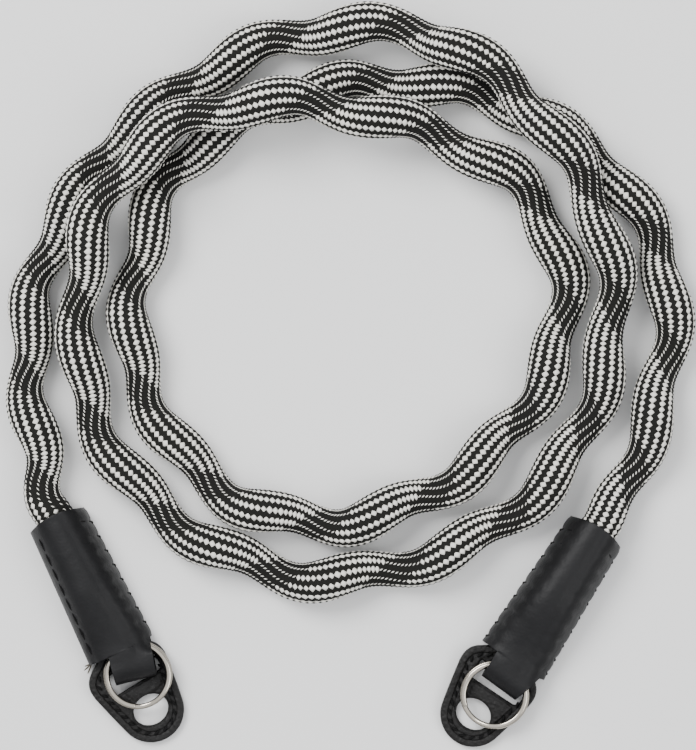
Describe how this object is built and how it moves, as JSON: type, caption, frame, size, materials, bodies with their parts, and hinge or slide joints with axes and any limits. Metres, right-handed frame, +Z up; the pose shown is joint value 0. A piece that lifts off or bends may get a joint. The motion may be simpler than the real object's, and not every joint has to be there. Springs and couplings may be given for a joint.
{
  "type": "camera neck strap",
  "caption": "Round woven cord neck strap lying in loose turns, with a sewn leather sleeve, split ring and leather lug guard at each end.",
  "frame": {"origin": "middle of the strap's footprint, on the surface that it lies on", "axes": "+Z up, +Y from the two ends towards the far side of the turns, +X to the right end"},
  "size_m": [0.1449, 0.1568, 0.0226],
  "materials": {
    "cord": "tubular woven cord, black ground with raised light grey diamonds in twelve columns",
    "leather": "smooth black bridle leather, sewn edges",
    "guard_leather": "pebbled black leather, two layers stitched round the edge",
    "steel": "bright polished nickel-plated steel wire"
  },
  "bodies": {
    "root": {"rope": "cord", "sleeve_left": "leather", "sleeve_right": "leather", "guard_left": "guard_leather", "guard_right": "guard_leather", "ring_left": "steel", "ring_right": "steel"}
  },
  "joints": []
}
